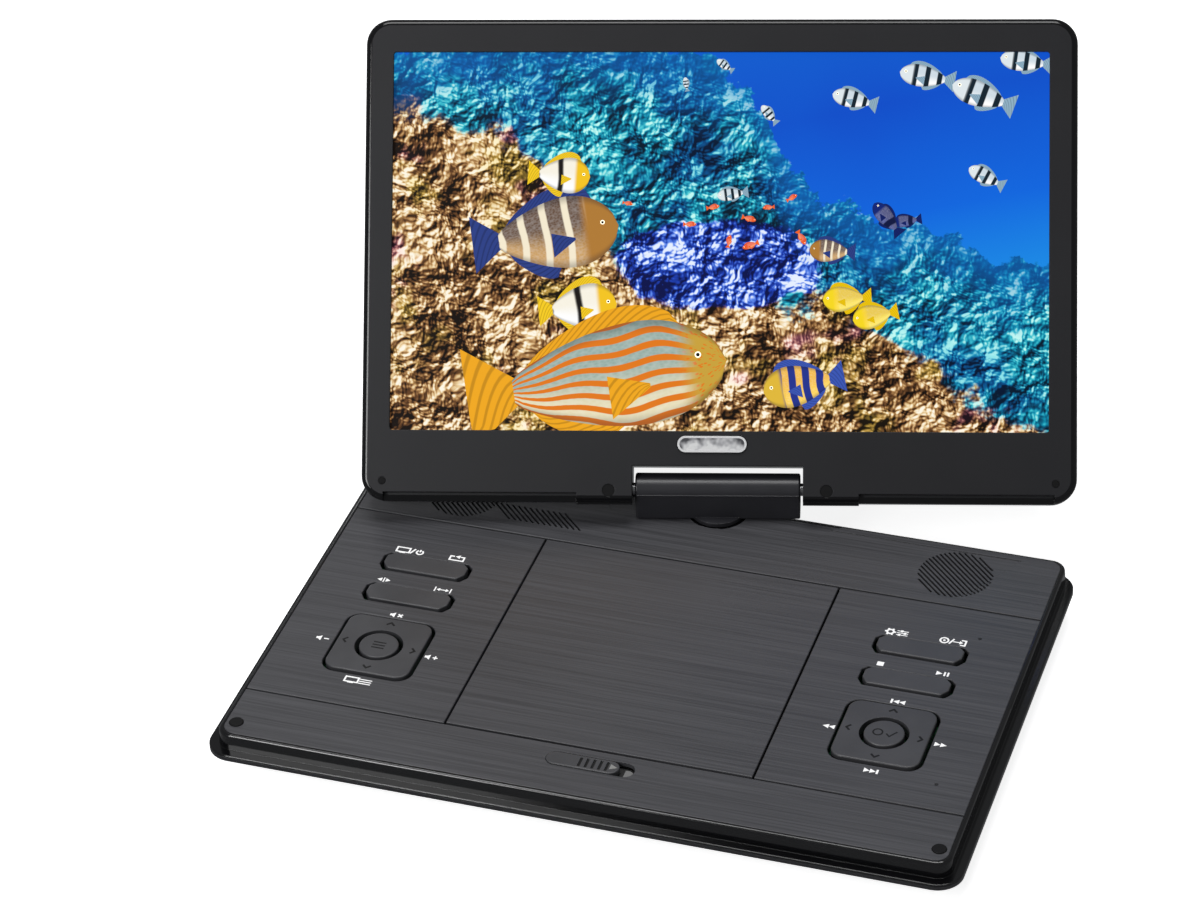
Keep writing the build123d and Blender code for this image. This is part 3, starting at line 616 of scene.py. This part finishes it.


# An arrow on the slide, black strips on the floors of its grip grooves as painted shade, and the grey end of its
# window
def printLatchAndShadeGrooves(black):
    k = latchLook
    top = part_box("latch_slider")[1].z / mm
    pale = plain("palePrint", k["arrow"])
    arrow = moved([triangle(0, k["arrowLong"], k["arrowHigh"])], k["arrowX"], k["y"])
    plates("latchArrow", arrow, onBase, top, top + k["arrowThick"], pale, "latch")
    starts = [k["firstX"] + k["pitch"] * i for i in range(k["grooves"])]
    near, far = k["y"] - k["grooveHalf"], k["y"] + k["grooveHalf"]
    # Painted shade: black strips laid just above the floor of each groove
    grooves = [box(x, x + k["grooveWide"], near, far) for x in starts]
    low, high = top - k["grooveLow"], top - k["grooveHigh"]
    plates("latchGroovePaintedShade", grooves, onBase, low, high, black, "latch")
    bend = [tuple(q) for q in roundLine(k["endX"] + 1.0, k["y"], k["endRound"], -75, 75, 12)]
    end = [fill([(k["endX"], k["y"] - k["endHalf"])] + bend + [(k["endX"], k["y"] + k["endHalf"])])]
    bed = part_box("latch_bed")[1].z / mm
    grey = plain("latchGrey", k["end"])
    plates("latchWindow", end, onBase, bed, bed + k["endThick"], grey, "base")


# The picture on the screen: coral banks, open water and fish

pictureLook = {"half": 155.15, "low": 26.85, "high": 206.75, "out": 8.43, "glow": 1.0}


# Beds of coral: three sizes of cell and a cloud summed to a height. The picture lights it by how far it rises
# towards the upper left
def coralHeight(g, spot, coarse, fine):
    bend = g.noise(spot, 7, 3, output=1)
    warp = g.add("ShaderNodeVectorMath", operation="MULTIPLY_ADD")
    g.join(bend, warp.inputs[0])
    g.join((0.09, 0.09, 0.0), warp.inputs[1])
    g.join(spot, warp.inputs[2])
    big = g.cells(warp.outputs[0], coarse, "SMOOTH_F1")
    small = g.cells(warp.outputs[0], fine, "SMOOTH_F1")
    cloud = g.noise(spot, 6, 4, 0.55)
    grains = g.cells(warp.outputs[0], 2.4 * fine)
    total = g.math("MULTIPLY_ADD", big, -0.44, 0.60)
    total = g.math("MULTIPLY_ADD", small, -0.42, total)
    total = g.math("MULTIPLY_ADD", grains, -0.16, total)
    return g.math("MULTIPLY_ADD", cloud, 0.66, total)


def reefPicture():
    material, shader = newMaterial("reefPicture", (0, 0, 0), 0.35, 0.0, 0.15)
    g = Graph(material)
    spot = g.place("UV", (1.724, 1, 1))
    u, v = g.parts(g.place("UV", (1, 1, 1)))
    ragged = g.math("MULTIPLY_ADD", g.noise(spot, 9, 5, 0.65), 0.30, -0.15)
    here = coralHeight(g, spot, 15, 46)
    there = coralHeight(g, g.shift(spot, (0.004, -0.005, 0.0)), 15, 46)
    lit = g.math("SUBTRACT", here, there)
    level = g.math("MULTIPLY_ADD", g.math("MULTIPLY_ADD", lit, 1.5, here), 1.25, -0.14)
    patch = g.noise(spot, 4.5, 4, 0.6)

    sand = g.ramp(level, [(0.18, tint("140b06")), (0.36, tint("6a4526")), (0.50, tint("b58753")),
                          (0.62, tint("eccf9b")), (0.78, tint("fff8e6"))])
    ochre = g.ramp(level, [(0.18, tint("1a1206")), (0.40, tint("7b6327")), (0.56, tint("c9a24c")),
                           (0.74, tint("fff0bd"))])
    rose = g.ramp(level, [(0.2, tint("1e0d18")), (0.42, tint("7d4450")), (0.60, tint("d79a8e")),
                          (0.78, tint("ffe9df"))])
    warm = g.mix(g.smooth(patch, 0.50, 0.62), sand, ochre)
    warm = g.mix(g.smooth(g.noise(g.shift(spot, (3.1, 1.7, 0.0)), 5, 3), 0.58, 0.66), warm, rose)
    teal = g.ramp(level, [(0.16, tint("001a2c")), (0.36, tint("045272")), (0.52, tint("0c8fae")),
                          (0.66, tint("3fc6d2")), (0.86, tint("c4fbf4"))])
    deepTeal = g.ramp(level, [(0.2, tint("001431")), (0.46, tint("04508c")), (0.66, tint("1a94c0")),
                              (0.86, tint("8ce4ea"))])
    teal = g.mix(g.smooth(patch, 0.44, 0.58), teal, deepTeal)
    blue = g.ramp(level, [(0.22, tint("050f4a")), (0.42, tint("1c3fb4")), (0.56, tint("5f8cf0")),
                          (0.70, tint("e6efff"))])

    bankLine = g.curve(u, [(0.0, 0.86), (0.16, 0.78), (0.27, 0.62), (0.38, 0.42), (0.55, 0.36), (0.70, 0.33),
                           (0.82, 0.16), (1.0, 0.0)])
    bank = g.math("ADD", g.math("SUBTRACT", bankLine, v), ragged)
    reef = g.mix(g.smooth(bank, -0.015, 0.02), teal, warm)
    far = g.math("POWER", g.math("MULTIPLY", g.math("SUBTRACT", u, 0.50), 6.2), 2.0)
    tall = g.math("POWER", g.math("MULTIPLY", g.math("SUBTRACT", v, 0.44), 8.5), 2.0)
    inside = g.math("SUBTRACT", 1.0, g.math("ADD", far, tall))
    inside = g.math("SUBTRACT", inside, g.math("MULTIPLY", ragged, -5.0))
    reef = g.mix(g.smooth(inside, -0.08, 0.08), reef, blue)

    water = g.ramp(g.math("MULTIPLY_ADD", u, -0.35, v), [(0.0, tint("1f9be8")), (0.3, tint("0c62dc")),
                                                         (0.6, tint("0a45c4")), (0.9, tint("0d5ccc"))])
    water = g.mix(g.math("MULTIPLY", g.noise(spot, 2.2, 2), 0.35), water, tint("0b74e6"))
    waterLine = g.curve(u, [(0.0, 1.0), (0.44, 1.0), (0.54, 0.90), (0.62, 0.66), (0.72, 0.56), (0.84, 0.52),
                            (0.93, 0.44), (1.0, 0.46)])
    clear = g.math("ADD", g.math("SUBTRACT", v, waterLine), g.math("MULTIPLY", ragged, 0.8))
    haze = g.smooth(clear, -0.22, 0.02)
    reef = g.mix(g.math("MULTIPLY", haze, 0.55), reef, tint("0c6fc8"))
    whole = g.mix(g.smooth(clear, 0.0, 0.012), reef, water)
    g.join(whole, shader.inputs["Emission Color"])
    shader.inputs["Emission Strength"].default_value = pictureLook["glow"]
    return material


badgeLook = {"across": -2.6, "up": 20.6, "long": 12.45, "round": 3.35, "band": 1.0, "thick": 0.12}


# A bright rim around the badge
def rimBadge():
    b = badgeLook
    corners = np.array([vertex.co for vertex in frame["nodes"]["badge"].data.vertices])
    top = ((corners - tiltPoint) @ outward).max() / mm
    ends = roundLine(b["long"], 0, b["round"], -90, 90), roundLine(-b["long"], 0, b["round"], 90, 270)
    line = np.concatenate(ends)
    rim = moved([stroke(line, b["band"], True)], b["across"], b["up"])
    bright = newMaterial("badgeRim", (0.95, 0.95, 0.96), 0.2, 0.3)[0]
    plates("badgeRim", rim, onScreen, top, top + b["thick"], bright, "screen")


def makePicture():
    half, low, high, out = (pictureLook[k] for k in ("half", "low", "high", "out"))
    corners = [(-half, low, out), (half, low, out), (half, high, out), (-half, high, out)]
    uvs = [(0, 0), (1, 0), (1, 1), (0, 1)]
    addPiece("reefPicture", onScreen(corners), [(0, 1, 2, 3)], reefPicture(), "screen", uvs)


fishLook = {
    # ground, belly, band, bands, share of band, along the body, wave, face, tail, fins
    "barred": ("c9d8e2", "ffffff", "10222e", 4.5, 0.40, 0, 0.0, "dfe8ec", "b8cdd8", "8fb0c4"),
    "lemon": ("e8c400", "ffe74a", "ffd91a", 1.0, 0.1, 0, 0.0, "f6d81e", "ffe24a", "f2c800"),
    "banded": ("5a3a1e", "c99a55", "f5ead0", 6.5, 0.30, 0, 0.25, "b07a34", "17265e", "2b3f86"),
    "wavy": ("8fa9a0", "e6dcb4", "e2791a", 7.0, 0.45, 1, 0.75, "c9a23c", "f2b21e", "f0a81c"),
    "ember": ("f0541a", "ff8a3a", "e23a12", 1.0, 0.1, 0, 0.0, "f2601e", "ff7a2c", "ff6a20"),
    "midnight": ("0c1f6e", "16358e", "0a1440", 2.0, 0.3, 0, 0.1, "0e2474", "0a1a5a", "0c1f66"),
    "regal": ("f2b616", "ffd23a", "24348e", 6.0, 0.52, 0, 0.30, "e0b83a", "ffd21a", "3a56b4"),
    "mask": ("f7f1e0", "ffffff", "161210", 2.6, 0.22, 0, 0.12, "f3c41e", "f6cc20", "f6cc20"),
}
# kind, across and up as shares of the picture, length as a share of its width, turn in degrees, facing
fishPlaces = [
    ("barred", 0.705, 0.875, 0.070, -14, -1), ("barred", 0.815, 0.935, 0.085, -10, -1),
    ("barred", 0.900, 0.885, 0.100, -20, -1), ("barred", 0.965, 0.975, 0.080, -8, -1),
    ("barred", 0.905, 0.670, 0.060, -28, -1), ("barred", 0.575, 0.835, 0.036, -50, -1),
    ("barred", 0.507, 0.965, 0.030, -35, -1), ("barred", 0.520, 0.625, 0.048, 8, -1),
    ("barred", 0.448, 0.915, 0.022, -80, -1),
    ("midnight", 0.755, 0.560, 0.062, -50, -1), ("midnight", 0.785, 0.555, 0.045, 8, -1),
    ("lemon", 0.695, 0.350, 0.074, 4, -1), ("lemon", 0.738, 0.305, 0.070, 12, -1),
    ("banded", 0.235, 0.515, 0.225, 8, 1), ("mask", 0.255, 0.675, 0.095, -4, 1),
    ("mask", 0.285, 0.325, 0.120, 6, 1), ("wavy", 0.315, 0.135, 0.400, 9, 1),
    ("regal", 0.630, 0.125, 0.125, 12, -1), ("banded", 0.672, 0.475, 0.070, -3, -1),
    ("ember", 0.490, 0.590, 0.020, 10, 1), ("ember", 0.545, 0.560, 0.022, -15, 1),
    ("ember", 0.575, 0.590, 0.018, 5, -1), ("ember", 0.610, 0.615, 0.018, 30, 1),
    ("ember", 0.625, 0.510, 0.024, -60, 1), ("ember", 0.515, 0.500, 0.020, 80, 1),
    ("ember", 0.548, 0.490, 0.026, 20, -1), ("ember", 0.360, 0.600, 0.016, -10, 1),
    ("ember", 0.455, 0.545, 0.020, 0, 1),
]


def fishMaterial(kind):
    back, belly, band, count, share, along, wave, face, tail, fins = fishLook[kind]
    material, shader = newMaterial(kind + "Fish", (0, 0, 0), 0.4, 0.0, 0.15)
    g = Graph(material)
    u, v = g.parts(g.place("UV", (1, 1, 1)))
    run, other = (v, u) if along else (u, v)
    bend = g.math("MULTIPLY", g.math("SINE", g.math("MULTIPLY", other, 19.0 if along else 5.0)), wave)
    bend = g.math("MULTIPLY_ADD", g.noise(g.place("UV", (3, 3, 1)), 2.0, 2), 0.8 * wave, bend)
    ripple = g.math("SINE", g.math("MULTIPLY_ADD", run, 2 * math.pi * count, g.math("MULTIPLY", bend, 1.6)))
    edge = math.cos(math.pi * share)
    bands = g.smooth(ripple, edge - 0.18, edge + 0.18)
    ground = g.mix(g.smooth(v, 0.15, 0.65), tint(belly), tint(back))
    scales = g.cells(g.place("UV", (1.6, 1, 1)), 34)
    ground = g.mix(g.math("MULTIPLY", scales, 0.2, clamp=True), ground, (1, 1, 1))
    body = g.mix(bands, ground, tint(band))
    if kind == "wavy":
        dots = g.cells(g.place("UV", (1.0, 0.6, 1)), 42)
        body = g.mix(g.smooth(u, 0.20, 0.10), body, g.mix(g.smooth(dots, 0.34, 0.26), tint(face), tint(band)))
    else:
        body = g.mix(g.smooth(u, 0.27, 0.20), body, tint(face))
    body = g.mix(g.smooth(u, 0.90, 0.96), body, tint(tail))
    rim = g.math("ABSOLUTE", g.math("SUBTRACT", v, 0.5))
    body = g.mix(g.math("MULTIPLY", g.smooth(rim, 0.36, 0.5), 0.45), body, (0.01, 0.015, 0.03))
    g.join(body, shader.inputs["Emission Color"])
    shader.inputs["Emission Strength"].default_value = 1.0
    fin, finShader = newMaterial(kind + "Fins", (0, 0, 0), 0.4, 0.0, 0.15)
    f = Graph(fin)
    fu, fv = f.parts(f.place("UV", (1, 1, 1)))
    rays = f.smooth(f.math("SINE", f.math("MULTIPLY_ADD", fu, 150.0, f.math("MULTIPLY", fv, 20.0))), 0.2, 0.9)
    dark = tuple(0.45 * c for c in tint(fins))
    f.join(f.mix(f.math("MULTIPLY", rays, 0.6), tint(fins), dark), finShader.inputs["Emission Color"])
    finShader.inputs["Emission Strength"].default_value = 1.0
    return material, fin


# Half-height of a fish: a sine of the share along it, fuller towards the head, plus a thin root for the tail
def girth(s, deep):
    return deep * np.sin(np.pi * np.clip(s, 0, 1) ** 0.78) ** 0.72 * (1 - 0.25 * s) + 0.045 * s


def grid(rows, columns, start):
    faces = []
    for i in range(rows - 1):
        for j in range(columns - 1):
            a = start + i * columns + j
            faces.append((a, a + 1, a + columns + 1, a + columns))
    return faces


def oneFish(deep, eye, start):
    points, uvs, faces, marks = [], [], [], []

    def patch(xs, lows, highs, lift, mark, columns=7):
        first = start + len(points)
        for x, low, high in zip(xs, lows, highs):
            for t in np.linspace(0, 1, columns):
                points.append((x, low + t * (high - low), lift))
                uvs.append((x, t))
        own = grid(len(xs), columns, first)
        faces.extend(own)
        marks.extend([mark] * len(own))

    s = np.linspace(0, 0.82, 30)
    half = girth(s / 0.82, deep)
    back = np.linspace(0.16, 0.76, 20)
    ride = girth(back / 0.82, deep)
    swell = 0.32 * deep * np.sin(np.pi * ((back - 0.16) / 0.60) ** 0.7) ** 0.6
    patch(back, ride - 0.02, ride + swell, 0.0, 1, 4)
    belly = np.linspace(0.42, 0.76, 12)
    hang = girth(belly / 0.82, deep)
    drop = 0.34 * deep * np.sin(np.pi * ((belly - 0.42) / 0.34) ** 0.6) ** 0.6
    patch(belly, -hang - drop, -hang + 0.02, 0.0, 1, 4)
    tail = np.linspace(0.80, 1.0, 10)
    flare = 0.045 + (tail - 0.80) * 0.75
    patch(tail, -flare, flare, 0.0, 1, 7)
    patch(s, -half, half, 0.02, 0, 9)
    fin = np.linspace(0.30, 0.46, 8)
    spread = 0.10 * (fin - 0.30) / 0.16 + 0.01
    patch(fin, -0.05 - spread, -0.05 + spread * 0.5, 0.04, 1, 4)
    eyeX, eyeY = 0.105, 0.035
    for radius, lift, mark in ((eye, 0.045, 2), (0.6 * eye, 0.06, 3)):
        first = start + len(points)
        for x, y in roundLine(eyeX, eyeY, radius)[:-1]:
            points.append((x, y, lift))
            uvs.append((x, y))
        faces.append(tuple(range(first, first + 24)))
        marks.append(mark)
    return points, uvs, faces, marks


# Depth and eye as shares of the length
fishBuild = {"barred": (0.20, 0.024), "lemon": (0.27, 0.022), "banded": (0.25, 0.015), "wavy": (0.20, 0.012),
             "ember": (0.17, 0.030), "midnight": (0.20, 0.022), "regal": (0.26, 0.020), "mask": (0.30, 0.022)}


def makeFish():
    wide = 2 * pictureLook["half"]
    tall = pictureLook["high"] - pictureLook["low"]
    eyeWhite = glowing("eyeWhite", tint("f4ecd2"), 1.0)
    eyeBlack = glowing("eyeBlack", tint("05060a"), 1.0)
    for kind in fishLook:
        points, uvs, faces, marks = [], [], [], []
        low, high = pictureLook["low"], pictureLook["high"]
        for i, (name, acrossShare, upShare, long, turn, facing) in enumerate(fishPlaces):
            if name != kind:
                continue
            p, q, f, m = oneFish(*fishBuild[kind], len(points))
            p = np.array(p)
            flat = (p[:, :2] - (0.5, 0)) * (-facing, 1) * long * wide
            a = math.radians(turn)
            flat = flat @ np.array([[math.cos(a), math.sin(a)], [-math.sin(a), math.cos(a)]])
            x = np.clip(flat[:, 0] + (acrossShare - 0.5) * wide, -pictureLook["half"], pictureLook["half"])
            y = np.clip(flat[:, 1] + low + upShare * tall, low, high)
            z = pictureLook["out"] + 0.03 + 0.09 * (i % 5) + p[:, 2]
            points += list(zip(x, y, z))
            uvs += q
            faces += [tuple(reversed(face)) if facing > 0 else face for face in f]
            marks += m
        materials = [*fishMaterial(kind), eyeWhite, eyeBlack]
        addPiece(kind + "Fish", onScreen(points), faces, materials, "screen", uvs, marks)
    print("picture drawn")


makeCamera()
makeLights()
makeFloor()
dressNodes()
printSymbolsAndShade()
rimBadge()
makePicture()
makeFish()
